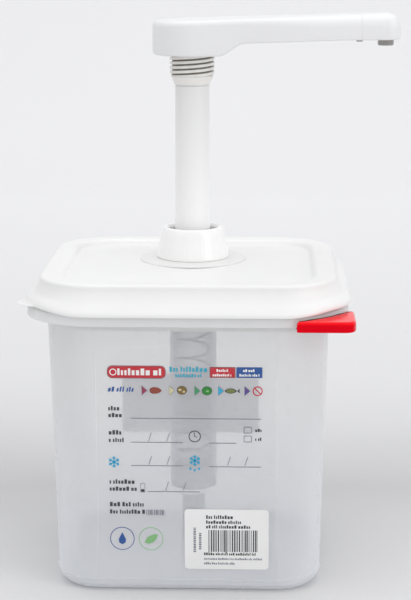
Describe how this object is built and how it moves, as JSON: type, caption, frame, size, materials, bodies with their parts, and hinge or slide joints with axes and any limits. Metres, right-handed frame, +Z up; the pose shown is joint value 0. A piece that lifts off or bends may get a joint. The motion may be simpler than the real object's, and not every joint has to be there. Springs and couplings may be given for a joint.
{
  "type": "condiment pump dispenser",
  "caption": "Plastic food pan with a press-on lid, a corner clip, and a spring-return plunger pump with a long swivelling arm that pours from a nozzle at its tip.",
  "frame": {"origin": "centre of the pan's base, on the surface it stands on", "axes": "+Z up along the pump, +X along the pan's longer side and the pouring arm, -Y the labelled front"},
  "size_m": [0.2072, 0.1651, 0.3121],
  "materials": {
    "pan_plastic": "translucent polypropylene, satin",
    "label_film": "clear printed film",
    "sticker_paper": "coated white paper",
    "rear_label_paper": "white paper",
    "clip_red": "glossy moulded red",
    "lid_plastic": "satin moulded white",
    "washer_plastic": "satin white",
    "white_plastic": "semi-gloss moulded white",
    "stem_plastic": "semi-gloss white tube",
    "head_plastic": "semi-gloss moulded white",
    "nozzle_plastic": "satin grey-white",
    "cylinder_plastic": "translucent natural plastic",
    "silicone": "matt translucent silicone",
    "spring_steel": "drawn stainless wire",
    "ball_steel": "polished stainless"
  },
  "bodies": {
    "pan": {"container": "pan_plastic", "front_label": "label_film", "barcode_sticker": "sticker_paper", "rear_label": "rear_label_paper"},
    "clip": {"corner_clip": "clip_red"},
    "lid_assembly": {"lid": "lid_plastic", "lid_washer": "washer_plastic", "lid_gasket": "silicone", "collar_nut": "white_plastic", "pump_cylinder": "cylinder_plastic", "stem_guide": "white_plastic", "stem_wiper": "silicone", "foot_valve_body": "white_plastic", "foot_valve_cage": "white_plastic", "dip_tube": "cylinder_plastic", "return_spring": "spring_steel"},
    "foot_ball": {"foot_valve_ball": "ball_steel"},
    "plunger": {"piston": "white_plastic", "piston_seal_lower": "silicone", "piston_seal_upper": "silicone", "discharge_valve_retainer": "white_plastic"},
    "discharge_ball": {"discharge_valve_ball": "ball_steel"},
    "head": {"pump_stem": "stem_plastic", "thread_sleeve": "white_plastic", "pump_head": "head_plastic"},
    "spout": {"spout_tip": "head_plastic", "spout_nozzle": "nozzle_plastic"}
  },
  "joints": [
    {"name": "clip_pull", "type": "slide", "parent": "pan", "child": "clip", "axis": [0.7071, -0.7071, 0], "range_m": [0, 0.045]},
    {"name": "lid_lift", "type": "slide", "parent": "pan", "child": "lid_assembly", "axis": [0, 0, 1], "range_m": [0, 0.165]},
    {"name": "foot_valve_lift", "type": "slide", "parent": "lid_assembly", "child": "foot_ball", "axis": [0, 0, 1], "range_m": [0, 0.0025]},
    {"name": "pump_stroke", "type": "slide", "parent": "lid_assembly", "child": "plunger", "axis": [0, 0, 1], "range_m": [-0.078, 0], "stiffness_N_per_m": 180, "springref_m": 0.05, "deforming": ["return_spring"]},
    {"name": "discharge_valve_lift", "type": "slide", "parent": "plunger", "child": "discharge_ball", "axis": [0, 0, 1], "range_m": [0, 0.0025]},
    {"name": "head_swivel", "type": "hinge", "parent": "plunger", "child": "head", "pos_m": [0.001, 0, 0.2893], "axis": [0, 0, 1], "continuous": true},
    {"name": "spout_pull", "type": "slide", "parent": "head", "child": "spout", "axis": [1, 0, 0], "range_m": [0, 0.02]}
  ]
}
